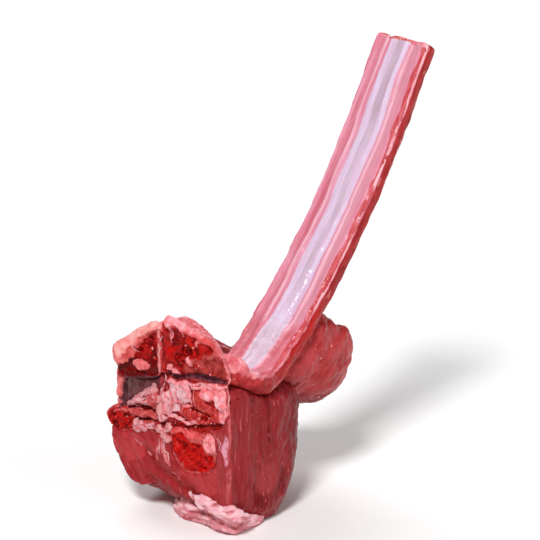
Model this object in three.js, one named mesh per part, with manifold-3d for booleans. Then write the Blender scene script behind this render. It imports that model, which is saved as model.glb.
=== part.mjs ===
// A raw lamb rib chop with its half of the backbone, standing on its fat edge with the rib rising from it.
// Millimetres, +Z up. +X runs from the sawn face of the backbone towards the rib's tip, +Y along the backbone.
// The backbone was sawn in two at x = 0, and the meat was cut across with a knife at FRONT and at BACK.
// The table is z = 0. At the end the whole is moved so that the origin is under its middle.
import * as THREE from "three";
import Module from "manifold-3d";
import { mergeVertices } from "three/addons/utils/BufferGeometryUtils.js";

const wasm = await Module();
wasm.setup();

// Driving sizes.
const THICKNESS = 42; // along the backbone, from one knife cut to the other
const BACKBONE_TOP = 61; // height of the sawn backbone above the table
const BONE_DEPTH = 7; // the half vertebrae, from the sawn face into the meat
const DISC_AT = 5; // where the disc lies along the backbone
const DISC_THICKNESS = 1.3;
const EYE_HEIGHT = 46; // the round muscle beside the backbone
const EYE_WIDTH = 32; // its width at the front cut
const BASE_WIDTH = 45; // its width at the back cut, which keeps the chop from falling over
const RIB_REACH = 80; // the rib's tip, out from the sawn face
const RIB_RISE = 131; // the rib's tip, above the table
const RIB_STRIP = 19; // width of the strip of bone and meat
const FAT_DEPTH = 2.5; // fat under the meat
const SEAM = 0.3; // clear gap between two pieces that lie against each other

const FRONT = -THICKNESS / 2;
const BACK = THICKNESS / 2;
const smooth = THREE.MathUtils.smoothstep;

// ---- Making and joining shapes ----

// A closed geometry as a solid that can be joined and cut, turned right side out.
function solidOf(geometry) {
  geometry.deleteAttribute("normal");
  geometry.deleteAttribute("uv");
  const merged = mergeVertices(geometry, 1e-4);
  const vertProperties = merged.getAttribute("position").array;
  const triVerts = new Uint32Array(merged.index.array);
  const solid = new wasm.Manifold(new wasm.Mesh({ numProp: 3, vertProperties, triVerts }));
  if (solid.volume() > 0) return solid;
  return new wasm.Manifold(new wasm.Mesh({ numProp: 3, vertProperties, triVerts: triVerts.reverse() }));
}

const join = (...solids) => solids.reduce((whole, piece) => whole.add(piece));
const cut = (solid, ...tools) => solid.subtract(join(...tools));

// The largest body of a cut solid: what else a cut leaves is a loose scrap.
const largest = (solid) => solid.decompose().sort((a, b) => b.volume() - a.volume())[0];

// A closed smooth outline through points given as shares of a rectangle, with its lowest corner at (left, low).
function outline([left, low], [width, height], shares) {
  const points = shares.map(([u, v]) => new THREE.Vector3(left + u * width, low + v * height, 0));
  const curve = new THREE.CatmullRomCurve3(points, true, "centripetal");
  const middle = points.reduce((sum, point) => sum.add(point), new THREE.Vector3()).divideScalar(points.length);
  return { curve, middle };
}

// A point of an outline, turn (0 to 1) of the way round it and reach (0 to 1) of the way out to it.
function inOutline({ curve, middle }, turn, reach, grow) {
  const spoke = curve.getPoint(((turn % 1) + 1) % 1).sub(middle);
  spoke.multiplyScalar((reach * (spoke.length() + grow)) / spoke.length());
  return spoke.add(middle);
}

// Slow lumps of the meat's own surface, about size across, which never repeat over a chop.
function lumps(x, y, z, size) {
  const step = (2 * Math.PI) / size;
  return (
    (Math.sin(step * (x + 0.4 * z) + 1.3) * Math.sin(step * (y - 0.3 * x) + 0.4) +
      Math.sin(step * 0.61 * (z + 0.5 * y) + 2.1) * Math.sin(step * 0.57 * (x - y) + 4.2)) / 2
  );
}

// A slab between two outlines that face each other, from depth low to depth high: a sphere squared off to them.
// place turns a spot on an outline and its depth into x, y and z. bulge swells both faces and grow all of it.
function slab(shape) {
  const { low, high, from, to = from, place, squareness = 5, grow = 0 } = shape;
  const { bulge = 0, rough = 0, roughSize = 16 } = shape;
  const geometry = new THREE.SphereGeometry(1, shape.around, shape.rings);
  const position = geometry.getAttribute("position");
  for (let i = 0; i < position.count; i++) {
    const [a, b, c] = [position.getX(i), position.getY(i), position.getZ(i)];
    const reach = Math.min(1, Math.hypot(a, c)) ** (2 / squareness);
    const depth = Math.sign(b) * Math.abs(b) ** (2 / squareness);
    const turn = Math.atan2(c, a) / (2 * Math.PI);
    const share = (depth + 1) / 2;
    const spot = inOutline(from, turn, reach, grow).lerp(inOutline(to, turn, reach, grow), share);
    const swell = depth * (bulge * (1 - reach ** 2) + grow);
    const [x, y, z] = place(spot.x, spot.y, low + share * (high - low) + swell);
    const lump = rough * lumps(x, y, z, roughSize);
    position.setXYZ(i, x + lump * Math.sign(x) * 0.6, y + lump * depth, z + lump * 0.6);
  }
  return solidOf(geometry);
}

const alongBackbone = (x, z, y) => [x, y, z]; // outlines seen from the front cut
const acrossBackbone = (y, z, x) => [x, y, z]; // outlines seen on the sawn face
const upFromTable = (x, y, z) => [x, y, z]; // outlines seen from above

// A bar along a curve. section gives its half width along side, its half thickness and how far its middle lies
// outside the curve. start leaves out the first stretch.
function bar(shape) {
  const { path, section, side = new THREE.Vector3(0, 1, 0), squareness = 2.6, grow = 0, start = 0 } = shape;
  const geometry = new THREE.CylinderGeometry(1, 1, 1, shape.sides, shape.steps);
  const position = geometry.getAttribute("position");
  for (let i = 0; i < position.count; i++) {
    const along = position.getY(i) + 0.5;
    const share = start + (1 - start) * along;
    const [a, b] = [position.getX(i), position.getZ(i)];
    const tangent = path.getTangent(share);
    const across = side.clone().addScaledVector(tangent, -tangent.dot(side)).normalize();
    const outward = new THREE.Vector3().crossVectors(across, tangent);
    const { halfWidth, halfThickness, offset = 0 } = section(share);
    const wide = Math.sign(a) * Math.abs(a) ** (2 / squareness) * (halfWidth + grow);
    const thick = Math.sign(b) * Math.abs(b) ** (2 / squareness) * (halfThickness + grow) + offset;
    const beyond = along < 1e-6 ? -grow : along > 1 - 1e-6 ? grow : 0;
    const spot = path.getPoint(share).addScaledVector(across, wide).addScaledVector(outward, thick);
    spot.addScaledVector(tangent, beyond);
    position.setXYZ(i, spot.x, spot.y, spot.z);
  }
  return solidOf(geometry);
}

const curveThrough = (points) => new THREE.CatmullRomCurve3(points.map((point) => new THREE.Vector3(...point)));

function box([x0, x1], [y0, y1], [z0, z1]) {
  const geometry = new THREE.BoxGeometry(x1 - x0, y1 - y0, z1 - z0);
  geometry.translate((x0 + x1) / 2, (y0 + y1) / 2, (z0 + z1) / 2);
  return solidOf(geometry);
}

const FAR = 200;
const SAW_WASTE = box([-FAR, 0], [-FAR, FAR], [-FAR, FAR]);
const BEYOND_SAW = box([-FAR, -SEAM], [-FAR, FAR], [-FAR, FAR]);
const UNDER_TABLE = box([-FAR, FAR], [-FAR, FAR], [-FAR, 0]);

// ---- Backbone: two half vertebrae, the disc between them and the spinal canal as an open groove ----

// The canal is a slit along the near vertebra and opens into a trough along the far one.
function canalTool() {
  const path = curveThrough([
    [0, FRONT - 6, 48.2], [0, FRONT + 1, 47.3], [0, -2, 45], [0, 7, 41], [0, BACK, 34.4], [0, BACK + 7, 31],
  ]);
  const section = (share) => {
    const radius = 0.8 + 3.4 * smooth(share, 0.5, 0.95);
    return { halfWidth: radius, halfThickness: radius };
  };
  return bar({ path, section, side: new THREE.Vector3(1, 0, 0), sides: 14, steps: 20, squareness: 2 });
}

// Bone is thinner towards the front cut, where the saw ran closer to its side.
const boneTaper = (y, z, x) => [x > 0 ? x * (0.35 + 0.65 * smooth(y, FRONT, -4)) : x, y, z];

// The near vertebra: its body falls from the disc to the front cut. Below the canal lie its arch and its spine.
function nearVertebra(grow = 0) {
  const end = DISC_AT - DISC_THICKNESS / 2 - SEAM;
  const width = end - FRONT;
  const body = outline([FRONT + 0.6, 43], [width - 0.6, BACKBONE_TOP - 43], [
    [1, 0], [1, 0.4], [0.99, 0.86], [0.8, 0.99], [0.6, 0.9], [0.38, 0.81], [0.2, 0.7], [0.08, 0.54],
    [0.02, 0.36], [0, 0.2], [0.3, 0.1],
  ]);
  const arch = outline([FRONT + 0.6, 30.5], [width - 0.6, 17], [
    [1, 0.3], [0.97, 0.75], [0.6, 0.95], [0.1, 1], [0, 0.6], [0.08, 0.15], [0.35, 0.02], [0.65, 0.01],
    [0.9, 0.08],
  ]);
  const spine = outline([FRONT + 5, 16.5], [17, 16], [
    [0.95, 0.8], [0.75, 1], [0.2, 1], [0.02, 0.6], [0.1, 0.15], [0.45, 0], [0.8, 0.08], [1, 0.4],
  ]);
  const shared = { low: -4, place: boneTaper, around: 30, rings: 10, grow };
  return join(
    slab({ ...shared, high: BONE_DEPTH, from: body, bulge: 1 }),
    slab({ ...shared, high: BONE_DEPTH - 1, from: arch, bulge: 1 }),
    slab({ ...shared, high: 3.6, from: spine }),
  );
}

// The far vertebra, whose canal is cut wide open.
function farVertebra(grow = 0) {
  const start = DISC_AT + DISC_THICKNESS / 2 + SEAM;
  const body = outline([start, 38], [BACK + 1.4 - start, 20], [
    [0.97, 0.05], [1, 0.28], [0.97, 0.48], [0.8, 0.62], [0.58, 0.74], [0.25, 0.9], [0.03, 1], [0, 0.6],
    [0, 0.25], [0.45, 0.12],
  ]);
  const arch = outline([start, 22.5], [BACK + 4.5 - start, 17], [
    [1, 0.12], [1, 0.36], [0.75, 0.48], [0.35, 0.72], [0.05, 0.95], [0, 0.55], [0.12, 0.3], [0.4, 0.12],
    [0.75, 0],
  ]);
  const pedicle = outline([start + 3, 27], [BACK + 2.2 - start, 17], [
    [1, 0.05], [1, 0.5], [0.97, 0.95], [0.5, 1.05], [0.1, 1], [0, 0.6], [0.2, 0.2], [0.6, 0],
  ]);
  const shared = { low: -4, place: acrossBackbone, around: 28, rings: 10, grow };
  return join(
    slab({ ...shared, high: BONE_DEPTH, from: body, bulge: 1 }),
    slab({ ...shared, high: BONE_DEPTH - 1.5, from: arch, bulge: 1 }),
    slab({ ...shared, low: 4.4, high: BONE_DEPTH + 0.5, from: pedicle }),
  );
}

function disc(grow = 0) {
  const edge = outline([DISC_AT - DISC_THICKNESS / 2, 44.5], [DISC_THICKNESS, BACKBONE_TOP - 47], [
    [1, 0], [1, 0.5], [0.9, 0.97], [0.1, 1], [0, 0.5], [0, 0],
  ]);
  return slab({ low: -4, high: BONE_DEPTH - 1, from: edge, place: acrossBackbone, around: 16, rings: 8, grow });
}

// ---- Rib: a flat bone along the inner face of a strip of meat, curving up from the backbone ----

const ribPath = curveThrough([
  [4, -17, 50.8], [10, -15, 47.6], [17, -13.5, 46.6], [26, -13, 52.2], [34, -13.2, 59], [45.5, -14.6, 73.2],
  [60, -17, 95.5], [RIB_REACH, -19, RIB_RISE],
]);

function ribBone(grow = 0) {
  const section = (share) => ({
    halfWidth: 3.3 + 1.5 * smooth(share, 0.5, 1),
    halfThickness: 2.5,
    offset: 2.1,
  });
  return bar({ path: ribPath, section, sides: 14, steps: 26, grow, start: 0.05 });
}

// The strip's extra height over the bone where it leaves the backbone.
const neck = (share) => 1.2 * (1 - smooth(share, 0.02, 0.1));

// Meat and skin on both sides of the bone and behind it.
function ribStrip(grow = 0) {
  const section = (share) => ({
    halfWidth: RIB_STRIP * (0.22 + 0.28 * smooth(share, -0.02, 0.18)),
    halfThickness: 2.4 + 1.2 * smooth(share, 0.1, 0.25) - 0.5 * smooth(share, 0.3, 0.9) + neck(share),
    offset: 2.4 + 1.2 * smooth(share, 0.1, 0.25) - 0.5 * smooth(share, 0.3, 0.9) - neck(share),
  });
  return bar({ path: ribPath, section, sides: 22, steps: 26, squareness: 4, grow, start: 0.01 });
}

// The side muscle under the rib, which has its own lobe at the front cut.
function sideMuscle(grow = 0) {
  const shares = [
    [1, 0.45], [0.95, 0.65], [0.8, 0.73], [0.65, 0.87], [0.48, 1], [0.3, 0.85], [0.1, 0.58], [0, 0.45],
    [0.15, 0.34], [0.38, 0.16], [0.62, 0.02], [0.85, 0.08],
  ];
  const front = outline([19, 25], [46, 38], shares);
  const back = outline([24, 22], [32, 15], shares);
  const ends = { low: FRONT + 1, high: BACK - 4, from: front, to: back, place: alongBackbone };
  return slab({ ...ends, around: 30, rings: 12, squareness: 3.4, bulge: 2, rough: 1, grow });
}

// ---- Meat beside the backbone ----

// The muscle on the sawn face, under the arch and round the spine: thin at the front cut and thick at the back.
function backboneMuscle(grow = 0) {
  const face = outline([FRONT + 0.4, 6.5], [THICKNESS + 3.1, 31], [
    [1, 0.42], [1, 0.58], [0.9, 0.75], [0.7, 0.95], [0.35, 0.95], [0, 0.97], [0, 0.5], [0.01, 0.05], [0.2, 0],
    [0.45, 0.04], [0.6, 0.11], [0.74, 0.03], [0.85, 0.08], [0.94, 0.24],
  ]);
  const slant = (y, z, x) => [x > 0 ? x * (0.26 + 0.74 * smooth(y, FRONT, BACK)) : x, y, z];
  const shape = { low: -4, high: 11, from: face, place: slant, around: 44, rings: 10, squareness: 7 };
  return slab({ ...shape, bulge: 0.6, rough: 0.5, roughSize: 11, grow });
}

// The eye: the round back muscle, wider at the back cut than at the front one.
function eyeMuscle(grow = 0) {
  const front = outline([0.5, 0], [EYE_WIDTH, EYE_HEIGHT], [
    [1.02, 0.6], [0.97, 0.8], [0.82, 0.89], [0.58, 0.94], [0.3, 0.98], [0.03, 1], [0, 0.6], [0, 0.3],
    [0.04, 0.12], [0.28, 0.03], [0.5, -0.03], [0.7, -0.02], [0.84, 0.14], [0.97, 0.36],
  ]);
  const back = outline([1, FAT_DEPTH], [BASE_WIDTH, EYE_HEIGHT - FAT_DEPTH], [
    [1, 0.45], [0.93, 0.78], [0.7, 0.95], [0.4, 0.98], [0.2, 0.98], [0.03, 0.96], [0, 0.6], [0, 0.35],
    [0.05, 0.14], [0.18, 0.03], [0.4, 0], [0.82, 0], [0.95, 0.1], [1, 0.25],
  ]);
  const ends = { low: FRONT, high: BACK, from: front, to: back, place: alongBackbone };
  return slab({ ...ends, around: 42, rings: 16, squareness: 8, bulge: 2.4, rough: 0.8, grow });
}

// The fat that the chop stands on. It is thickest under the sawn face.
function fatCap() {
  const footprint = outline([0, FRONT - 1], [BASE_WIDTH, THICKNESS + 1], [
    [0.89, 0.74], [0.9, 0.9], [0.68, 0.97], [0.38, 0.95], [0.3, 0.76], [0.06, 0.55], [0.02, 0.3], [0.03, 0.02],
    [0.2, 0], [0.36, 0.04], [0.5, 0.22], [0.66, 0.36], [0.8, 0.52],
  ]);
  const thinning = (x, y) => (1 - 0.5 * smooth(x, 3, 16)) * (1 - 0.6 * smooth(y, -3, 6));
  const wedge = (x, y, z) => [x, y, z > 0 ? z * thinning(x, y) : z];
  const shape = { low: -2, high: 9, from: footprint, place: wedge, around: 40, rings: 10 };
  return slab({ ...shape, squareness: 3.2, rough: 0.8, roughSize: 13 });
}

// A loose fold of fat along the bottom of the sawn face and round its front corner.
function fatFold(grow) {
  const path = curveThrough([
    [0.2, -5, 9.6], [-0.2, -11, 9], [-0.2, -17.5, 7.8], [1.2, -22.6, 6.8], [5.5, -23.4, 5.4],
  ]);
  const section = (share) => {
    const swell = Math.sin(Math.PI * (0.1 + 0.82 * share));
    return { halfWidth: 2.3 * swell, halfThickness: 1.3 * swell };
  };
  return bar({ path, section, side: new THREE.Vector3(0, 0, 1), sides: 12, steps: 16, squareness: 2.2, grow });
}

// ---- The chop ----

const bones = [nearVertebra(SEAM), farVertebra(SEAM), disc(SEAM), ribBone(SEAM)];
const ribMeatOf = (grow) => join(ribStrip(grow), sideMuscle(grow));
const canal = canalTool();

const pieces = {
  near_vertebra: cut(nearVertebra(), canal, SAW_WASTE),
  far_vertebra: cut(farVertebra(), canal, SAW_WASTE),
  disc: cut(disc(), nearVertebra(SEAM), farVertebra(SEAM), canal, SAW_WASTE),
  rib_bone: cut(ribBone(), nearVertebra(SEAM), farVertebra(SEAM)),
  rib_meat: cut(ribMeatOf(0), ...bones, SAW_WASTE),
  backbone_muscle: cut(backboneMuscle(), ...bones, ribMeatOf(SEAM), canal, SAW_WASTE),
  eye_muscle: cut(eyeMuscle(), ...bones, ribMeatOf(SEAM), backboneMuscle(SEAM), canal, SAW_WASTE, UNDER_TABLE),
};

// The fat takes the shape of the meat it lies on.
const meatInFat = cut(join(backboneMuscle(SEAM), eyeMuscle(SEAM)), BEYOND_SAW);
pieces.fat_fold = cut(fatFold(0), meatInFat);
pieces.fat_cap = cut(fatCap(), meatInFat, fatFold(SEAM), UNDER_TABLE);

const finishes = {
  near_vertebra: { color: 0xa83a35, roughness: 0.55 },
  far_vertebra: { color: 0xa83a35, roughness: 0.55 },
  disc: { color: 0xeed6d2, roughness: 0.4 },
  rib_bone: { color: 0xe6cbd8, roughness: 0.35 },
  rib_meat: { color: 0xd0646c, roughness: 0.4 },
  backbone_muscle: { color: 0xb8484c, roughness: 0.45 },
  eye_muscle: { color: 0xa03c40, roughness: 0.45 },
  fat_fold: { color: 0xf0ccc8, roughness: 0.5 },
  fat_cap: { color: 0xe6aeac, roughness: 0.5 },
};

function meshOf(name, solid) {
  const { vertProperties, triVerts } = largest(solid).getMesh();
  const geometry = new THREE.BufferGeometry();
  geometry.setAttribute("position", new THREE.BufferAttribute(vertProperties, 3));
  geometry.setIndex(new THREE.BufferAttribute(triVerts, 1));
  geometry.computeVertexNormals();
  const mesh = new THREE.Mesh(geometry, new THREE.MeshStandardMaterial({ metalness: 0, ...finishes[name] }));
  mesh.name = name;
  return mesh;
}

const chop = new THREE.Group();
for (const [name, solid] of Object.entries(pieces)) chop.add(meshOf(name, solid));

// The origin is on the table, under the middle of the whole chop.
const middle = new THREE.Box3().setFromObject(chop).getCenter(new THREE.Vector3());
chop.position.set(-middle.x, -middle.y, 0);

export default chop;
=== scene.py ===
import math

import bmesh
import bpy
import numpy as np
from mathutils import Euler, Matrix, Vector, noise
from mathutils.bvhtree import BVHTree


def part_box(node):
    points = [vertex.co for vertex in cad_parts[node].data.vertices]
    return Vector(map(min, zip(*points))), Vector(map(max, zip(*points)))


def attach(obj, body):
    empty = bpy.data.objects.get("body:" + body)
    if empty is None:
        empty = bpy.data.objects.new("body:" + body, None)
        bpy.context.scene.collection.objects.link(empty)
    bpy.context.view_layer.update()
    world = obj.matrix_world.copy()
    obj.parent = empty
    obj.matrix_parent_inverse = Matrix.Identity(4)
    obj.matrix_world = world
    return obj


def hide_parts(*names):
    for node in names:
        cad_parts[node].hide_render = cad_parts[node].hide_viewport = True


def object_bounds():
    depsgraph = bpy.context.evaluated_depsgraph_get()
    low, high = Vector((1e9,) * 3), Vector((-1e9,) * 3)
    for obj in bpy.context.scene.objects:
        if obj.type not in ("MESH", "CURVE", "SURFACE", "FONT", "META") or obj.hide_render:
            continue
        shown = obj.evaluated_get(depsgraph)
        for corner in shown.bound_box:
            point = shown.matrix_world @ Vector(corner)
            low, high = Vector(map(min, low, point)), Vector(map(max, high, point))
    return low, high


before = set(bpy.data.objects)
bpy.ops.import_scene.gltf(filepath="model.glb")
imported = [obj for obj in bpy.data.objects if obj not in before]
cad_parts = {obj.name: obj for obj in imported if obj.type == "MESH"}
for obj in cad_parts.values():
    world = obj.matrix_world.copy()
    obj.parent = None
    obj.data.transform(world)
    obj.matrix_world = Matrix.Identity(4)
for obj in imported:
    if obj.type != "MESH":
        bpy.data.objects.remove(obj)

cad_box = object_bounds()

# ----------------------------------------
# Camera, light and floor. The chop stands on its fat edge on a plain pale floor in soft studio light, and is
# seen from its front left corner, a little from above, as in the photograph.

AZIMUTH, ELEVATION = -50, 18
LENS, SENSOR = 180, 36
VIEW_HEIGHT = 0.158  # of the whole picture, where the chop stands


def new_object(name, data):
    """An object of that name, in the scene."""
    thing = bpy.data.objects.new(name, data)
    bpy.context.scene.collection.objects.link(thing)
    return thing


def way_to(azimuth, elevation):
    """The way from the chop to a camera or a light at that azimuth and elevation, in degrees."""
    a, e = math.radians(azimuth), math.radians(elevation)
    return Vector((math.sin(a) * math.cos(e), -math.cos(a) * math.cos(e), math.sin(e)))


def studio_light(name, azimuth, elevation, spread, strength):
    """A wide soft light that shines on the chop from that side, the same all over the floor."""
    light = new_object(name, bpy.data.lights.new(name, "SUN"))
    light.data.angle = math.radians(spread)
    light.data.energy = strength
    light.rotation_euler = way_to(azimuth, elevation).to_track_quat("Z", "Y").to_euler()


to_camera = way_to(AZIMUTH, ELEVATION)
camera = new_object("camera", bpy.data.cameras.new("camera"))
camera.data.lens = LENS
camera.data.sensor_width = SENSOR
camera.location = (cad_box[0] + cad_box[1]) / 2 + to_camera * VIEW_HEIGHT * LENS / SENSOR
camera.rotation_euler = to_camera.to_track_quat("Z", "Y").to_euler()
bpy.context.scene.camera = camera
studio_light("key_light", -66, 52, 14, 2.5)
studio_light("fill_light", 14, 24, 40, 0.7)
studio_light("back_light", 150, 50, 40, 1.1)

sky = bpy.data.worlds.new("studio")
sky.use_nodes = True
glow = sky.node_tree.nodes["Background"].inputs
glow["Color"].default_value = (1.0, 0.97, 0.96, 1.0)
glow["Strength"].default_value = 0.16
bpy.context.scene.world = sky
bpy.context.scene.view_settings.view_transform = "Standard"

floor_mesh = bmesh.new()
bmesh.ops.create_grid(floor_mesh, x_segments=1, y_segments=1, size=3)
floor = new_object("floor", bpy.data.meshes.new("floor"))
floor_mesh.to_mesh(floor.data)
floor_mesh.free()
floor_paint = bpy.data.materials.new("floor_paint")
floor_paint.use_nodes = True
paint = floor_paint.node_tree.nodes["Principled BSDF"].inputs
paint["Base Color"].default_value = (0.95, 0.95, 0.95, 1)
paint["Roughness"].default_value = 0.9
floor.data.materials.append(floor_paint)

# ----------------------------------------
# Near half vertebra: spongy bone, sawn down its middle, so that its red marrow shows inside a pale rim of
# hard bone. Under it the spinal canal is a slit, painted dark as the shade inside it, and below that lie the
# knuckles of the arch and the red spine. Places on the chop are in millimetres: in from the sawn face, back
# from its middle, up.

MIDDLE_Y = 0.000842  # metres, where the chop is halfway along the backbone
ORIGIN = np.array([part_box("near_vertebra")[0].x, MIDDLE_Y, 0.0])


def ease(start, end, value):
    """0 up to start, 1 from end on, and a smooth slope between."""
    share = np.clip((np.asarray(value) - start) / (end - start), 0, 1)
    return share * share * (3 - 2 * share)


def points_of(mesh):
    """The mesh's points, in millimetres on the chop, and the way that each faces."""
    co, facing = np.empty(len(mesh.vertices) * 3), np.empty(len(mesh.vertices) * 3)
    mesh.vertices.foreach_get("co", co)
    mesh.vertex_normals.foreach_get("vector", facing)
    return (co.reshape(-1, 3) - ORIGIN) * 1000, facing.reshape(-1, 3)


def push(piece, distance):
    """Moves each point of a piece out along its own facing, by millimetres, but never through the floor."""
    places, facing = points_of(piece.data)
    moved = ORIGIN + (places + facing * np.asarray(distance)[:, None]) / 1000
    moved[:, 2] = np.maximum(moved[:, 2], 0)
    piece.data.vertices.foreach_set("co", moved.ravel())
    piece.data.update()


def shade_smooth(mesh):
    """Shades every face of a mesh as part of one smooth surface."""
    mesh.polygons.foreach_set("use_smooth", [True] * len(mesh.polygons))


def copy_of(node, name, pitch, wear, swell=0.22):
    """A copy of a CAD solid that stands for it, in an even mesh of that pitch, its facets worn smooth. Its
    edges stray as its neighbours' do, less up the rib, and it is swollen a little, so that pieces that grew
    together touch."""
    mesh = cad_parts[node].data.copy()
    mesh.materials.clear()
    bm = bmesh.new()
    bm.from_mesh(mesh)
    bmesh.ops.remove_doubles(bm, verts=bm.verts, dist=1e-6)
    bm.to_mesh(mesh)
    bm.free()
    piece = new_object(name, mesh)
    even = piece.modifiers.new("even mesh", "REMESH")
    even.mode = "VOXEL"
    even.voxel_size = pitch / 1000
    worn = piece.modifiers.new("worn facets", "SMOOTH")
    worn.iterations = wear
    finished = piece.evaluated_get(bpy.context.evaluated_depsgraph_get())
    piece.data = bpy.data.meshes.new_from_object(finished)
    piece.modifiers.clear()
    shade_smooth(piece.data)
    places, _ = points_of(piece.data)
    straying = 0.1 + 0.3 * ease(64, 48, places[:, 2])[:, None]  # a share, from above to below the rib's foot
    strayed = places + straying * (ragged(places, 1.0, 4.3) - places)
    piece.data.vertices.foreach_set("co", (ORIGIN + strayed / 1000).ravel())
    push(piece, np.full(len(piece.data.vertices), swell))
    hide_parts(node)
    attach(piece, "root")
    return piece


def mark(piece, where=1, **tissues):
    """Keeps how much of each tissue shows at each point, where times amount, 0 to 1, for the finish."""
    for tissue, amount in tissues.items():
        kept = piece.data.attributes.new(tissue, "FLOAT", "POINT")
        kept.data.foreach_set("value", np.clip(where * amount, 0, 1).astype(np.float32))


def lay_grain(piece, places):
    """Keeps the places, in millimetres, that the piece's mottling is laid on, to follow a bent grain."""
    kept = piece.data.attributes.new("grain", "FLOAT_VECTOR", "POINT")
    kept.data.foreach_set("vector", (places / 1000).astype(np.float32).ravel())


def lumps(places, size, octaves=3, seed=0.0):
    """Soft uneven lumps about size millimetres across, from about -1 to 1."""
    return np.array([noise.fractal(p, 1.0, 2.0, octaves) for p in (places / size + seed).tolist()])


def pores(places, size, seed=0.0):
    """Round pits about size millimetres apart: 1 in the middle of each and 0 on the walls between them."""
    nearest = [noise.voronoi(p)[0][0] for p in (places / size + seed).tolist()]
    return ease(0.62, 0.12, nearest)


def ragged(places, amount, size=3.0):
    """The places strayed by an uneven amount, so that what is drawn on them gets torn, wandering edges."""
    strays = [lumps(places, size, 4, seed) for seed in (11.3, 27.1, 43.7)]
    return places + amount * np.stack(strays, axis=1)


def reach_of(places, middle, radii, turn=0.0):
    """How far out each place lies in an oval on the sawn face, as (back, up): 0 in its middle, 1 on it."""
    y, z = places[:, 1] - middle[0], places[:, 2] - middle[1]
    c, s = math.cos(math.radians(turn)), math.sin(math.radians(turn))
    return np.hypot((c * y + s * z) / radii[0], (c * z - s * y) / radii[1])


def spot(places, middle, radii, turn=0.0, soft=0.3):
    """1 inside an oval on the sawn face and 0 outside it."""
    return ease(1 + soft, 1 - soft, reach_of(places, middle, radii, turn))


def most(*amounts):
    """The largest of these amounts at each place."""
    return np.maximum.reduce(amounts)


def domes(places, knuckles):
    """The height of a cluster of round knuckles, (middle, radii, turn, height) each, with creases between."""
    rises = [h * np.sqrt(np.clip(1 - reach_of(places, m, r, t) ** 2, 0, 1)) for m, r, t, h in knuckles]
    return most(*rises)


def seam(places, path, width, soft=0.6):
    """1 on a line drawn on the sawn face through (back, up) points, and 0 from its edge on. Its width may
    change evenly from one to the other of two values."""
    here, path = places[:, 1:], np.array(path, float)
    first, last = width if isinstance(width, tuple) else (width, width)
    amount = np.zeros(len(places))
    for step, (a, b) in enumerate(zip(path[:-1], path[1:])):
        along = np.clip((here - a) @ (b - a) / ((b - a) @ (b - a)), 0, 1)
        away = np.linalg.norm(here - a - along[:, None] * (b - a), axis=1)
        half = (first + (last - first) * (step + along) / (len(path) - 1)) / 2
        amount = np.maximum(amount, ease(1 + soft, 1 - soft, away / half))
    return amount


def seams(places, *lines):
    """1 on any of several lines, (path, width) each with its softness where it has one of its own."""
    return most(*[seam(places, *line) for line in lines])


def bone_sinew(places):
    """The low relief of the sinew that covers a bone beside its sawn face."""
    return 0.25 * lumps(places / (1, 3, 1), 1.6, 3) + 0.12 * lumps(places, 1.2)


def tone(colour):
    """A colour as it looks on a screen, each part 0 to 255, as the linear light that a shader takes."""
    return tuple(((c / 255 + 0.055) / 1.055) ** 2.4 if c > 10 else c / 3295 for c in colour) + (1,)


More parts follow.
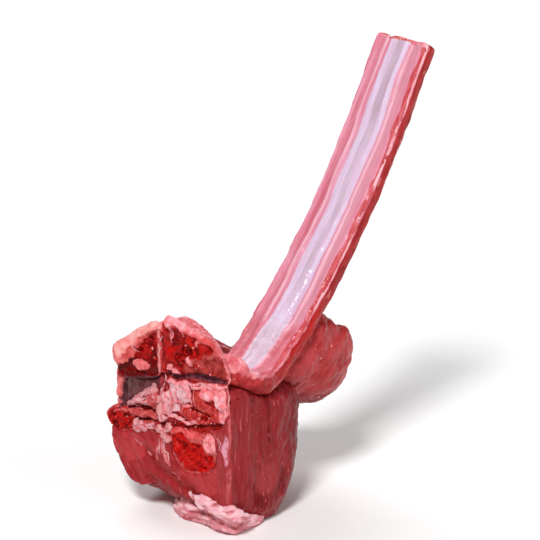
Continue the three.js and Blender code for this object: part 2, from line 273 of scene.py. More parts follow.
def moist_finish(name, pieces, relief, see_through, gloss, tissues, grained=False):
    """Gives pieces a moist finish. Each tissue has the attribute that says where it shows (the first shows
    everywhere), two tones, the millimetres of the mottling between them, and how rough it is. The relief is
    how high and how large its fine bumps are. On grained pieces all follow the grain laid on them."""
    finish = bpy.data.materials.new(name)
    finish.use_nodes = True
    nodes, links = finish.node_tree.nodes, finish.node_tree.links

    def node(kind, output, settings=(), **sockets):
        """That output of a new node, once its settings and then its sockets' numbers and links are made."""
        made = nodes.new("ShaderNode" + kind)
        for setting, value in settings:
            setattr(made, setting, value)
        for socket, value in sockets.items():
            socket = made.inputs[socket.replace("_", " ")]
            if isinstance(value, bpy.types.NodeSocket):
                links.new(value, socket)
            else:
                socket.default_value = value
        return made.outputs[output]

    def kept(attribute, output="Fac"):
        return node("Attribute", output, [("attribute_name", attribute)])

    def speckle(sizes, detail):
        spread = node("Mapping", "Vector", Vector=place, Scale=[1000 / size for size in sizes])
        return node("TexNoise", "Fac", Vector=spread, Scale=1.0, Detail=detail, Roughness=0.6)

    def slope(value, low, high, start=0.0, end=1.0):
        smooth = [("interpolation_type", "SMOOTHSTEP")]
        ends = dict(From_Min=low, From_Max=high, To_Min=start, To_Max=end)
        return node("MapRange", "Result", smooth, Value=value, **ends)

    def blend(kind, factor, under, over):
        return node("Mix", "Result", [("data_type", kind)], Factor=factor, A=under, B=over)

    place = kept("grain", "Vector") if grained else node("TexCoord", "Object")
    colour = rough = None
    for attribute, first, second, sizes, roughness in tissues:
        mottling = speckle(sizes if isinstance(sizes, tuple) else (sizes,) * 3, 4)
        shade = blend("RGBA", slope(mottling, 0.36, 0.64), tone(first), tone(second))
        dull = slope(mottling, 0.3, 0.7, max(0.05, roughness - 0.08), roughness + 0.08)
        if colour is None:
            colour, rough = shade, dull
            continue
        frayed = nodes.new("ShaderNodeMath")
        frayed.operation = "MULTIPLY_ADD"
        links.new(mottling, frayed.inputs[0])
        frayed.inputs[1].default_value = 0.5
        links.new(kept(attribute), frayed.inputs[2])
        shows = slope(frayed.outputs[0], 0.45, 1.05)
        colour, rough = blend("RGBA", shows, colour, shade), blend("FLOAT", shows, rough, dull)

    coarser, higher = 3.2, 2.2  # the second layer of bumps, as shares of the first
    height, size = relief
    fine = node("Bump", "Normal", Distance=height / 1000, Height=speckle((size,) * 3, 3))
    coarse = speckle((size * coarser,) * 3, 3)
    facing = node("Bump", "Normal", Distance=height * higher / 1000, Height=coarse, Normal=fine)
    shader = nodes["Principled BSDF"].inputs
    for socket, output in (("Base Color", colour), ("Roughness", rough), ("Normal", facing)):
        links.new(output, shader[socket])
    shader["Specular IOR Level"].default_value = 0.06
    shader["Subsurface Weight"].default_value = see_through
    shader["Subsurface Radius"].default_value = (1.0, 0.35, 0.25)
    shader["Subsurface Scale"].default_value = 0.0012
    shader["Coat Weight"].default_value = gloss
    shader["Coat Roughness"].default_value = 0.07
    shader["Coat IOR"].default_value = 1.33
    for piece in pieces:
        piece.data.materials.append(finish)


near_vertebra = copy_of("near_vertebra", "near_half_vertebra", 0.24, 8)
places, facing = points_of(near_vertebra.data)
on_face = ease(2.8, 1.4, places[:, 0]) * ease(0.3, -0.3, facing[:, 0])
torn, frayed = ragged(ragged(places, 0.7), 0.25, 0.9), ragged(places, 0.8, 2.8)
crumble = lumps(torn, 2.5, 4, 3.0)

# The body: hard pale rim, bright marrow, and a duskier hollow at its front end.
body = ease(44.2, 45.4, torn[:, 2])
top_edge = np.interp(places[:, 1], [-20.5, -19.5, -17.6, -14.9, -10.9, -5.5, -0.9, 4.4],
                     [49.5, 52, 54.8, 57.5, 58.8, 59.9, 61.0, 57.8])
below_top = top_edge - torn[:, 2]
rim_depth = np.interp(places[:, 1], [-20, -16, -12, -6, -1, 4.5], [0.3, 0.6, 0.8, 0.8, 1.1, 0.9])
rim = body * ease(rim_depth + 0.5, rim_depth - 0.4, below_top)
salmon = body * ease(rim_depth + 1.6, rim_depth + 0.2, below_top) * ease(-17, -14, places[:, 1])
streak = body * seam(torn, [(3.0, 61.5), (2.4, 57), (2.8, 51)], (1.3, 1.0))
rim, salmon = rim * (1 - streak), salmon * (1 - 0.8 * streak)
drips = 0.8 * body * seams(
    torn,
    ([(0.6, 60), (0.2, 56.4), (0.8, 54)], (1.6, 0.5)),
    ([(-4.2, 59), (-4.8, 57)], (1.4, 0.5)),
    ([(-9.6, 57), (-9.0, 55)], (1.4, 0.5)),
)
marrow = body * most(spot(torn, (0.6, 52.4), (5.4, 9.5)), spot(torn, (-8.0, 55.2), (8.4, 3.8), -14))
dusky = body * most(spot(torn, (-13.4, 48.9), (8.6, 3.6), -14), spot(torn, (-7.0, 47.6), (6.4, 2.2), -10))
pit = spot(torn, (-4.4, 52.6), (2.6, 1.8), -20)
# Two darker spots in the marrow.
stain = most(0.7 * spot(torn, (-0.8, 55.8), (2.0, 2.8), 10), 0.5 * spot(torn, (2.4, 47.4), (1.8, 2.4)))
# Painted highlights: small pale raised spots on the body, shown in the rim's tone.
gleams = most(
    spot(torn, (-6.3, 50.0), (1.0, 1.4)),
    0.8 * spot(torn, (1.4, 46.4), (1.6, 0.9)),
    0.7 * spot(torn, (-1.2, 45.6), (1.3, 0.8)),
)

# The slit of the canal, and the knuckles, gristle and raw red bone of the arch under it.
slit = seams(
    places,
    ([(4.8, 43.4), (-1.8, 44.4), (-7.5, 45.7), (-11.5, 46.5)], (0.5, 1.5), 0.35),
    ([(-11.5, 46.5), (-16, 46.5), (-21, 46.9)], (1.5, 0.6), 0.35),
)
# The lip under the slit is a pale line, a painted highlight along the slit's lower edge.
lip = seam(frayed, [(3.5, 42.4), (-3, 43.0), (-8, 43.7), (-13, 44.6), (-20, 45.4)], 1.0)
soft_rise = domes(frayed, [
    ((1.6, 37.6), (3.4, 4.6), 10, 1.5), ((-4.2, 40.4), (3.2, 3.2), 0, 1.5),
    ((2.6, 33.4), (2.4, 2.2), 0, 0.9), ((-0.8, 42.0), (2.6, 1.4), 0, 0.9),
    ((-1.4, 34.8), (2.6, 1.6), -20, 0.9),
])
rosy_rise = domes(frayed, [
    ((-13.2, 41.6), (3.0, 2.1), -15, 1.5), ((-17.6, 41.0), (2.4, 3.2), 0, 1.7),
    ((-16.4, 44.2), (3.2, 1.3), -5, 1.0),
])
red_rise = domes(frayed, [
    ((-9.6, 38.8), (2.6, 3.2), 20, 1.2), ((-5.6, 34.2), (4.6, 2.2), 12, 1.3),
    ((-10.9, 33.9), (2.9, 1.8), -10, 1.0), ((-16.2, 36.1), (3.0, 2.6), 0, 1.0),
    ((-12.8, 37.0), (2.2, 1.9), 0, 0.8),
])
rise = most(soft_rise, rosy_rise, red_rise)
strands = seams(
    frayed,
    ([(2.8, 42), (1.4, 38.6), (2.4, 34), (4.4, 31)], 1.0),
    ([(-3.2, 43.2), (-6.4, 41.8), (-7.4, 38)], 0.8),
    ([(-7.6, 42.4), (-10.6, 43), (-12.6, 43.6)], 0.9),
    ([(4.4, 31.8), (-0.8, 31.9), (-5.2, 31), (-9.8, 32.6)], 1.1),
    ([(-6.6, 36.6), (-2.2, 37.2), (0.6, 35.6)], 0.8),
    ([(-18.9, 45), (-19.4, 40), (-19, 34)], 2.0),
)
arch = ease(45.4, 44.0, torn[:, 2]) * ease(28.6, 30.4, torn[:, 2])
vessel = spot(torn, (2.1, 41.0), (1.7, 1.6), 0, 0.35)
CRACK_LINE = [(2.5, 29.2), (-0.7, 29.4), (-5.2, 29.9), (-10.9, 31.6), (-17.1, 33.0), (-20, 33.6)]
crack = seam(torn, CRACK_LINE, 1.0)
# Shaded dents: small recessed spots on the arch, painted dark as their shade.
clots = most(spot(frayed, (-7.6, 36.4), (1.6, 1.3)), spot(frayed, (-12.6, 35.0), (2.2, 0.8), -20))

# The red spine, in its pale sleeve.
uneven = ragged(places, 1.5, 3.4)
spine = most(
    spot(uneven, (-7.2, 22.0), (7.8, 4.9), 14, 0.14),
    spot(uneven, (-3.8, 24.6), (4.8, 3.0), 0, 0.16),
)
sleeve = (1 - spine) * most(
    spot(torn, (-5.4, 28.0), (6, 1.3), -4),
    spot(torn, (-14.0, 27.0), (2.2, 3.2), 24),
)
spongy = np.clip(most(marrow * (1 - salmon), spine), 0, 1)
fresh = most(
    spot(torn, (-6.8, 54.2), (5.2, 2.7), -22, 0.5),
    0.8 * spot(torn, (1.0, 50.4), (1.8, 3.4), 20, 0.5),
    spine,
)
upright = lumps(torn / (1, 1, 5), 0.9, 3, 6.0)
pale_streaks = marrow * ease(0.05, 0.6, upright) * ease(-5.5, -2.5, torn[:, 1])

relief = (
    0.7 * rim + 0.5 * salmon + 0.7 * drips + arch * (1.1 * rise - 0.6) + 0.7 * crumble * (0.3 + spongy)
    - spongy * (0.6 + 0.1 * pores(places, 1.7)) + 0.7 * spine * (0.5 + crumble) - 0.6 * dusky
    + 0.9 * gleams + 0.5 * lip + arch * 0.5 * strands - 1.2 * pit - 0.9 * slit - 0.6 * crack
    - 0.4 * vessel - 0.8 * clots + 0.5 * sleeve + 0.11 * lumps(places, 0.8, 3)
)
push(near_vertebra, on_face * relief + (1 - on_face) * bone_sinew(places))
mark(
    near_vertebra, on_face,
    # Blood: the raw red bone between the knuckles, painted darker where it lies lower, as shade.
    blood=arch * ease(0.65, 0.15, rise + 0.5 * crumble),
    pale=arch * ease(0.0, 0.9, soft_rise + 0.4 * crumble),
    bead=most(arch * ease(0.0, 0.9, red_rise + 0.4 * crumble), 0.75 * spine * ease(0.15, 0.7, crumble)),
    button=arch * ease(0.0, 1.0, rosy_rise + 0.2 * crumble),
    # Gleam: a painted highlight on the tops of the knuckles.
    gleam=arch * ease(1.0, 1.7, rosy_rise + 0.9 * soft_rise + 0.4 * crumble),
    salmon=most(salmon, 0.9 * sleeve, 0.7 * drips),
    dusky=dusky * (1 - salmon),
    marrow=most(spongy, streak),
    streaky=0.8 * pale_streaks,
    fresh=fresh * spongy,
    # Painted shade where the marrow lies low, in the pit and in the dents, with two darker spots in the
    # marrow.
    deep=most(spongy * most(ease(0.15, -0.55, crumble) * (1 - 0.5 * spine), pit, stain), arch * clots),
    # The pale rim of hard bone, with drips, strands and sleeve in its tone; the gleams and the lip in it are
    # painted highlights.
    rim=most(rim, 0.8 * drips, gleams, 0.9 * lip, arch * strands, 0.8 * sleeve * (torn[:, 1] < -12)),
    # The slit and the crack are painted dark, as the shade inside them.
    slit=slit, crack=crack, vessel=vessel,
)
mark(near_vertebra, skin=ease(0.2, 0.8, 1 - on_face))
moist_finish("sawn_bone", [near_vertebra], (0.09, 0.5), 0.06, 0.09, [
    ("bone", (178, 54, 54), (206, 92, 92), 1.5, 0.38),
    ("blood", (132, 10, 10), (170, 32, 30), 1.1, 0.32),
    ("bead", (204, 70, 66), (164, 34, 32), 1.1, 0.32),
    ("pale", (234, 186, 192), (216, 140, 146), 2.2, 0.28),
    ("button", (250, 140, 146), (236, 104, 110), 1.8, 0.26),
    ("gleam", (252, 196, 202), (246, 170, 176), 1.5, 0.24),
    ("salmon", (232, 100, 102), (208, 62, 62), 1.4, 0.30),
    ("dusky", (184, 64, 60), (134, 22, 22), 2.4, 0.34),
    ("marrow", (176, 30, 28), (150, 14, 13), 1.6, 0.32),
    ("streaky", (212, 76, 76), (188, 44, 42), (0.9, 0.9, 3), 0.30),
    ("fresh", (204, 26, 22), (180, 12, 10), 1.8, 0.28),
    ("deep", (104, 2, 2), (138, 6, 6), 1.4, 0.32),
    ("rim", (250, 168, 176), (238, 122, 128), 1.4, 0.28),
    # painted shade inside the slit and the crack
    ("slit", (132, 66, 80), (96, 24, 30), 3.0, 0.28),
    ("crack", (138, 22, 21), (116, 12, 12), 1.2, 0.30),
    ("vessel", (160, 34, 38), (134, 26, 32), 1.2, 0.26),
    ("skin", (234, 150, 156), (206, 88, 94), 2.4, 0.30),
])

# ----------------------------------------
# Far half vertebra: the next bone of the chain, sawn in the same cut. The knife left a thick pale plate along
# its top, and its canal is cut open as a hollow, painted dark grey as its shade, with a ragged red arch
# below.

def in_hollow(places):
    """1 in the hollow of the far vertebra's canal, on whatever piece lines it, where dark grey shade is
    painted.
    """
    ceiling = np.interp(places[:, 1], [5, 22], [42.6, 38.4])
    ground = np.interp(places[:, 1], [5, 8, 15, 22], [39.6, 38.0, 32.4, 29.6])
    inside = ease(ground - 0.8, ground + 0.8, places[:, 2]) * ease(ceiling + 0.8, ceiling - 0.5, places[:, 2])
    return inside * ease(5.2, 6.6, places[:, 1]) * ease(12, 10, places[:, 0])


far_vertebra = copy_of("far_vertebra", "far_half_vertebra", 0.24, 8)
places, facing = points_of(far_vertebra.data)
torn, frayed = ragged(ragged(places, 0.7), 0.25, 0.9), ragged(places, 1.2, 2.4)
crumble = lumps(torn, 2.5, 4, 3.0)
hollow = in_hollow(ragged(places, 0.8, 4.0))
on_face = most(ease(2.8, 1.4, places[:, 0]) * ease(0.3, -0.3, facing[:, 0]), hollow)
PLATE_LINE = [(5.8, 57.8), (9, 56.2), (12.5, 54.0), (15, 51.4), (17, 49.0), (20, 46.8)]
plates = seam(torn, PLATE_LINE, (2.4, 6.4), 0.5) * (1.2 + 0.3 * lumps(places, 5.0, 2, 2.0))
on_top = ease(5.5, 3.5, places[:, 0])
# The upper half of the plate, where a highlight is painted.
plate_top = ease(-2.2, 0.4, torn[:, 2] - np.interp(torn[:, 1], *zip(*PLATE_LINE)))
marrow = most(spot(torn, (8.6, 51.0), (3.6, 4.8), 15), spot(torn, (12.4, 48.4), (3.6, 2.2), -30))
dusky = most(spot(torn, (14, 43.0), (9.4, 4.0), -8), 0.9 * spot(torn, (6.8, 48.8), (1.8, 4.0)))
oval = domes(places, [((12.4, 44.7), (3.5, 1.8), -4, 1.3)])
clotted = domes(frayed, [
    ((7.8, 36.0), (2.6, 2.7), 0, 1.3), ((10.8, 37.0), (2.2, 1.4), -35, 1.1),
    ((6.4, 39.4), (1.4, 2.2), 0, 0.9),
])
threads = seams(
    frayed,
    ([(7, 38.8), (11.4, 36.2), (16.4, 31.8)], 1.5),
    ([(9, 34.6), (14.4, 33.4)], 1.1),
    ([(6.4, 41), (6.2, 36)], 1.2),
)
gash = seams(torn, ([(6.5, 31.6), (12.5, 31.8), (17, 31.2)], 1.6), ([(7, 28.6), (14, 28.4)], 0.9))
ridge = seam(frayed, [(5.5, 29.8), (8.5, 30.5), (13, 29.9), (18.5, 29.4), (23, 28)], (1.5, 0.8))
crumb = spot(torn, (19.8, 26.6), (6.4, 3.8), -20)
scraps = domes(frayed, [
    ((6.3, 26.7), (3.4, 2.3), 0, 1.2), ((10.2, 25.6), (2.2, 1.5), 10, 0.9),
    ((13.4, 26.3), (3.2, 2.0), -12, 1.2),
])
edge = ease(22.5, 23.7, torn[:, 1] + 0.2 * (places[:, 2] - 38)) * ease(29, 31, places[:, 2])

relief = (
    plates + 0.7 * crumble * (plates < 0.3) + oval + clotted + scraps + 0.16 * lumps(places, 0.8, 3)
    - 0.7 * dusky * (plates < 0.2)
)
relief = (
    relief * (1 - 0.7 * hollow) - marrow * (0.6 + 0.25 * pores(places, 1.7)) - 1.3 * gash
    - 0.9 * hollow * ease(17, 20, places[:, 1]) * (1 - edge) + 0.8 * threads + 0.8 * ridge
    - crumb * (0.2 + 0.7 * pores(places, 1.4, 3.0))
)
push(far_vertebra, on_face * relief + (1 - on_face) * bone_sinew(places))
mark(
    far_vertebra, on_face,
    marrow=most(marrow, crumb),
    # The gashes take the darkest tone, painted shade inside them.
    dusky=most(dusky, gash),
    # Painted shade where the marrow and the crumbs lie low.
    deep=most(crumb, marrow) * ease(-0.02, -0.42, crumble),
    clot=(1 - hollow) * most(ease(0.2, 0.7, clotted + 0.3 * crumble), ridge),
    threads=most(threads, ease(0.3, 0.9, scraps + 0.3 * crumble)),
    oval=most(ease(0.2, 0.6, oval), edge),
)
mark(
    far_vertebra,
    # The hollow is painted dark grey, as the shade inside the canal.
    hollow=hollow * (1 - 0.9 * threads),
    plate=on_top * ease(0.1, 0.9, plates + 0.2 * crumble),
    # A painted highlight along the top of the pale plate.
    rim=on_top * ease(0.3, 1.0, plates) * plate_top,
    skin=ease(0.15, 0.6, 1 - on_face) * (1 - on_top * ease(0.1, 0.6, plates)),
)
moist_finish("sawn_far_bone", [far_vertebra], (0.09, 0.5), 0.06, 0.09, [
    ("bone", (178, 52, 54), (204, 96, 96), 1.5, 0.36),
    ("marrow", (190, 22, 18), (148, 5, 4), 2.0, 0.32),
    ("dusky", (92, 0, 0), (118, 6, 5), 2.0, 0.34),
    ("deep", (100, 1, 1), (132, 6, 4), 1.0, 0.32),
    ("hollow", (82, 38, 42), (112, 62, 70), 3.0, 0.24),
    ("plate", (236, 122, 118), (206, 76, 74), 2.2, 0.30),
    # the painted highlight on the plate's top
    ("rim", (250, 176, 170), (242, 138, 134), 2.4, 0.28),
    ("clot", (212, 98, 98), (186, 64, 66), 1.4, 0.28),
    ("threads", (230, 170, 174), (194, 112, 118), 1.3, 0.28),
    ("oval", (238, 126, 128), (222, 100, 104), 2.0, 0.28),
    ("skin", (228, 140, 146), (196, 74, 82), 2.4, 0.30),
])

# ----------------------------------------
# Disc: a thin slice of gristle that joins the two vertebrae. It is paler and smoother than their bone, and
# was sawn through with them.

disc = copy_of("disc", "gristle_disc", 0.2, 3)
places, _ = points_of(disc.data)
middle = np.polyval(np.polyfit(places[:, 2], places[:, 1], 1), places[:, 2])
from_middle = np.abs(places[:, 1] - middle + 0.3 * lumps(places, 2.5))
push(disc, 0.2 * lumps(places, 1.5) + 0.15 * ease(1.0, 0.0, places[:, 0]))
mark(disc, blood=most(
    ease(0.1, 0.6, lumps(places, 2.5, 3, 8.0)),
    ease(0.15, 0.55, from_middle) * ease(60, 56, places[:, 2]),
))
moist_finish("gristle", [disc], (0.05, 0.4), 0.25, 0.25, [
    ("gristle", (236, 158, 158), (216, 112, 112), 1.4, 0.26),
    ("blood", (186, 46, 46), (208, 78, 78), 0.9, 0.30),
])

# ----------------------------------------
# Rib: a smooth flat bone, lavender white under its skin, that leaves the backbone as a rosy neck and lies
# along the inner side of its strip of meat up to the sawn tip.

RIB_LINE = np.array([
    (4, -17, 50.8), (10, -15, 47.6), (17, -13.5, 46.6), (26, -13, 52.2), (34, -13.2, 59), (45.5, -14.6, 73.2),
    (60, -17, 95.5), (80, -19, 131),
])


def rib_middle(count, passes):
    """The bone's middle line as that many points, its corners rounded off in that many passes."""
    steps, knots = np.linspace(0, 1, count), np.linspace(0, 1, len(RIB_LINE))
    line = np.stack([np.interp(steps, knots, RIB_LINE[:, axis]) for axis in range(3)], axis=1)
    for _ in range(passes):
        line[1:-1] = (line[:-2] + line[2:]) / 2
    return line


def along_rib(places):
    """Three things of each place: how far up the rib it is, as a share of it; how far across the strip from
    the bone's middle line, along it and out from it, in millimetres; and which way the outer side faces."""
    line = rib_middle(200, 60)
    nearest = np.concatenate([
        np.argmin(((part[:, None, ::2] - line[None, :, ::2]) ** 2).sum(2), axis=1)
        for part in np.array_split(places, max(1, len(places) // 4000))
    ])
    share = np.linspace(0, 1, len(line))[nearest]
    heading = np.gradient(line, axis=0)[nearest]
    heading /= np.linalg.norm(heading, axis=1)[:, None]
    length = np.hypot(heading[:, 0], heading[:, 2])
    outward = np.stack([heading[:, 2] / length, -heading[:, 0] / length], axis=1)
    gone = np.concatenate([[0], np.cumsum(np.linalg.norm(np.diff(line, axis=0), axis=1))])[nearest]
    gone = gone + ((places - line[nearest]) * heading).sum(1)
    reach = ((places - line[nearest])[:, ::2] * outward).sum(1)
    return share, np.stack([places[:, 1] - line[nearest, 1], gone, reach], axis=1), outward


rib_bone = copy_of("rib_bone", "rib", 0.36, 20, 0.28)
places, _ = points_of(rib_bone.data)
share, grain, _ = along_rib(places)
across, gone, reach = grain.T
silk = lumps(np.stack([across, gone * 0.06, reach * 0.5], axis=1), 1.0, 3)
push(rib_bone, 0.12 * silk + 0.15 * lumps(places, 6.0, 2) + 0.05 * lumps(places, 1.2))
lay_grain(rib_bone, grain)
mark(rib_bone, tip=ease(0.985, 0.995, share), neck=ease(0.24, 0.06, share + 0.03 * lumps(places, 5.0)))
moist_finish("rib_bone", [rib_bone], (0.03, 0.7), 0.2, 0.3, [
    ("bone", (238, 212, 232), (224, 190, 212), (1.6, 22, 3), 0.24),
    ("neck", (244, 172, 182), (226, 130, 140), (2.2, 6, 3), 0.28),
    ("tip", (186, 60, 60), (232, 150, 148), 0.9, 0.38),
], grained=True)

# ----------------------------------------
# Rib meat: the strip of meat round the rib, pink under its thin skin on the inner side and red where the
# knife cut it, and the side muscle below, a smooth red lobe.

rib_meat = copy_of("rib_meat", "rib_meat_strip", 0.42, 16, 0.26)
places, facing = points_of(rib_meat.data)
_, grain, outward = along_rib(places)
across, gone, reach = grain.T
turned = (facing[:, ::2] * outward).sum(1)
inner, outer = ease(0.25, 0.7, -turned) * ease(7.5, 5.0, reach), ease(0.2, 0.6, turned)
lobe = ease(44, 34, gone) * ease(5, 8, reach)
root = (
    (facing[:, 1] < 0) * ease(30, 16, gone + 2.0 * lumps(places, 3.0, 3))
    * ease(3.2, 0.2, reach + 1.2 * lumps(places, 2.5, 3, 5.0))
)
fresh = (
    ease(0.1, 0.6, -facing[:, 1]) * ease(46, 34, gone) * ease(12, 20, gone)
    * ease(0.2, 2.6, reach) * ease(8, 5, reach)
)
drawn = lumps(grain / (1, 14, 1), 1.3, 3)
fine = lumps(grain / (1, 16, 1), 0.6, 2, 7.0)
wander = 0.5 * lumps(grain / (1, 3, 1), 5.0, 2)
relief = (
    inner * (0.22 * drawn + 0.08 * fine + 0.3 * ease(1.4, 0.3, np.abs(np.abs(across) - 8.6 + wander)))
    - inner * 0.45 * ease(2.0, 0.4, np.abs(across - 6.4 + wander))
    + 0.25 * lumps(places, 6.0, 2) + 0.45 * lumps(places, 17.0, 2, 5.3)
    + (1 - inner) * (1 - lobe) * (0.22 * lumps(grain / (1, 3, 1), 1.8, 4) + 0.1 * fine)
    + lobe * (0.12 * lumps(places / (1, 2, 1), 1.6, 3) - 0.1 * pores(places, 3.0))
)
push(rib_meat, relief)
lay_grain(rib_meat, grain)
# Painted highlights along the strip's edges, and a pale line beside the bone.
edge_line = ease(28, 46, gone) * ease(1.1, 0.4, np.abs(np.abs(across) - 8.9 + wander))
mid_line = 0.8 * ease(0.8, 0.3, np.abs(across - 4.6 + wander))
fat_streaks = ease(-0.2, 0.7, lumps(grain / (1, 6, 1), 2.6, 4, 2.0)) * ease(34, 50, gone)
bare = (1 - 0.85 * lobe) * (1 - inner)
mark(
    rib_meat,
    dark=bare * ease(-0.2, 0.9, lumps(grain / (1, 3, 1), 3.5, 4, 6.0)),
    sinew=bare * ease(0.4, 0.8, lumps(grain / (1, 5, 1), 1.1, 3, 5.0)),
    bright=lobe * ease(-0.8, 0.8, lumps(places, 8.0, 3, 4.0)),
    # Low: the lobe painted darker towards the bottom, as shade.
    low=lobe * ease(37, 24, places[:, 2]),
    # Glints: painted highlights, small pale specks on the lobe.
    glints=lobe * ease(0.4, 0.62, lumps(places, 0.95, 2, 31.0))
    * ease(-0.3, 0.5, lumps(places, 7.0, 2, 33.0)),
    fatty=outer * fat_streaks,
    fresh=fresh * ease(-0.7, 0.3, lumps(grain / (1, 4, 1), 2.2, 3, 9.0)),
    # pale_line: painted highlights along the strip's edges, and a pale line beside the bone.
    skin=inner, root=root, pale_line=inner * most(edge_line, mid_line),
)
moist_finish("strip_meat", [rib_meat], (0.06, 0.6), 0.18, 0.14, [
    ("meat", (182, 56, 58), (156, 36, 38), (1.4, 4, 1.4), 0.30),
    ("dark", (142, 26, 28), (160, 40, 42), (1.4, 5, 1.4), 0.32),
    ("bright", (188, 68, 72), (170, 54, 58), 3.4, 0.24),
    ("sinew", (218, 118, 120), (200, 88, 92), 1.0, 0.28),
    ("fatty", (230, 158, 158), (212, 116, 118), (1.4, 8, 1.4), 0.30),
    # painted shade towards the bottom of the lobe
    ("low", (154, 42, 44), (134, 28, 30), 3.0, 0.26),
    ("glints", (236, 150, 154), (216, 116, 120), 1.2, 0.22),
    ("fresh", (194, 38, 36), (168, 22, 22), (1.6, 5, 1.6), 0.28),
    ("skin", (230, 142, 160), (216, 112, 130), (1.4, 18, 3), 0.25),
    ("root", (236, 150, 158), (212, 98, 106), (2.4, 7, 2.4), 0.26),
    # pale lines; along the strip's edges they are painted highlights
    ("pale_line", (250, 192, 200), (240, 160, 174), (1, 14, 3), 0.22),
], grained=True)

# ----------------------------------------
# Rib skin: the thin shiny skin that lined the chest. It lies over the rib and the inner side of its strip,
# grows fast to both, and turns in at the edges, where the knife cut it. It is lavender over the bone and pink
# beside it.

SKIN_THICKNESS, TUCKED_IN = 0.25, 0.9  # millimetres
RIM_PASSES = 8  # of smoothing, for the rim that the knife cut


def trees_of(pieces):
    """The pieces as trees that a ray can be cast at."""
    return [BVHTree.FromObject(piece, bpy.context.evaluated_depsgraph_get()) for piece in pieces]


def fall(trees, start, aim):
    """How far a point falls from a place, along the aim, until it meets a piece, in millimetres."""
    hits = [tree.ray_cast(Vector(ORIGIN + start / 1000), Vector(aim))[3] for tree in trees]
    return min([hit * 1000 for hit in hits if hit is not None], default=np.inf)


def drape(name, over, starts, aims, deepest, lift=0.1, passes=3):
    """A thin skin laid on pieces: a grid of points falls on them from the starts, along the aims, and those
    that go deeper than deepest are left out. It bridges the gaps between pieces, more so with more passes,
    lies lifted a little off them, and is tucked in all round its edge."""
    trees = trees_of(over)
    rows, columns = starts.shape[:2]
    fallen = np.array([[fall(trees, *ray) for ray in zip(*row)] for row in zip(starts, aims)])
    met = fallen < deepest
    for row in range(rows):
        if met[row].any():
            fallen[row] = np.interp(np.arange(columns), np.nonzero(met[row])[0], fallen[row][met[row]])

    def shifted(grid):
        return [grid[i:i + rows, j:j + columns] for i in range(3) for j in range(3)]

    level = fallen
    for _ in range(passes):
        level = np.minimum(sum(shifted(np.pad(level, 1, mode="edge"))) / 9, fallen)
    level = level - lift
    whole = np.logical_and.reduce(shifted(np.pad(met, 1)))
    level[~whole] += TUCKED_IN
    laid = starts + aims * level[:, :, None]

    bm = bmesh.new()
    bmesh.ops.create_grid(bm, x_segments=rows - 1, y_segments=columns - 1, size=0.5)
    bm.verts.ensure_lookup_table()
    for vert in bm.verts:
        row, column = round((vert.co.x + 0.5) * (rows - 1)), round((vert.co.y + 0.5) * (columns - 1))
        vert.co = Vector(ORIGIN + laid[row, column] / 1000)
        vert.tag = not met[row, column]
    bmesh.ops.delete(bm, geom=[vert for vert in bm.verts if vert.tag], context="VERTS")
    for _ in range(RIM_PASSES):
        rim = [vert for vert in bm.verts if vert.is_boundary]
        bmesh.ops.smooth_vert(bm, verts=rim, factor=0.5, use_axis_x=True, use_axis_y=True, use_axis_z=True)
    bmesh.ops.recalc_face_normals(bm, faces=bm.faces)
    skin = new_object(name, bpy.data.meshes.new(name))
    bm.to_mesh(skin.data)
    bm.free()
    shade_smooth(skin.data)
    thickness = skin.modifiers.new("thickness", "SOLIDIFY")
    thickness.thickness = SKIN_THICKNESS / 1000
    thickness.offset = -1
    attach(skin, "root")
    return skin


FALL_FROM, FALL_TO = 14, 17  # millimetres off the middle line where points start, and how far they may fall
ROOT_ROWS = 14  # at the backbone, where no skin is left
line = rib_middle(340, 100)
heading = np.gradient(line, axis=0)[:, ::2]
heading = heading / np.linalg.norm(heading, axis=1)[:, None]
falls = np.stack([heading[:, 1], np.zeros(len(line)), -heading[:, 0]], axis=1)
sideways = np.linspace(-10.4, 10.4, 62)
starts = (line - FALL_FROM * falls)[:, None, :] + sideways[None, :, None] * (0, 1, 0)
aims = np.repeat(falls[:, None, :], len(sideways), axis=1)
rib_skin = drape("rib_skin", [rib_bone, rib_meat], starts[ROOT_ROWS:], aims[ROOT_ROWS:], FALL_TO)
places, facing = points_of(rib_skin.data)
share, grain, outward = along_rib(places)
if (facing[:, ::2] * outward).sum(1).mean() > 0:
    rib_skin.data.flip_normals()
across = grain[:, 0]
bent = across + 0.9 * lumps(grain / (2, 4, 1), 6.0, 2)
drawn = lumps(grain / (1, 16, 1), 1.2, 3)
fine = lumps(grain / (1, 20, 1), 0.5, 2, 7.0)
push(rib_skin, 0.10 * drawn + 0.05 * fine + 0.08 * lumps(places, 1.6, 3))
lay_grain(rib_skin, grain)
on_bone = ease(4.4, 2.4, np.abs(bent + 0.4))
mark(
    rib_skin,
    bone=on_bone,
    # Painted shade: the bone and its sides darker low on the rib, towards the backbone.
    low_bone=ease(0.62, 0.36, share) * on_bone,
    low_side=ease(0.6, 0.4, share) * ease(3.2, 5.4, np.abs(bent + 0.4)),
    grey=most(ease(0.8, 0.98, share), 0.6 * ease(0.45, 0.6, share)) * ease(2.2, 0.6, np.abs(bent + 0.9)),
    # Shine: a painted highlight along one side of the bone, fading out towards the tip.
    shine=ease(1.3, 0.3, np.abs(bent - 2.6)) * ease(0.9, 0.4, share),
    groove=ease(2.6, 0.2, np.abs(bent - 6.6)) * (0.75 + 0.5 * lumps(grain / (1, 8, 1), 3.0, 2)),
    dull=0.8 * ease(1.6, 0.4, np.abs(bent + 6.6)),
    light=0.8 * ease(0.9, 0.2, np.abs(np.abs(bent) - 5.0)),
    neck=ease(0.2, 0.08, share + 0.04 * lumps(places, 4.0)),
    cut_edge=ease(7.8, 9.4, np.abs(across - 0.3) + 0.8 * lumps(grain / (1, 3, 1), 2.5, 3)),
)
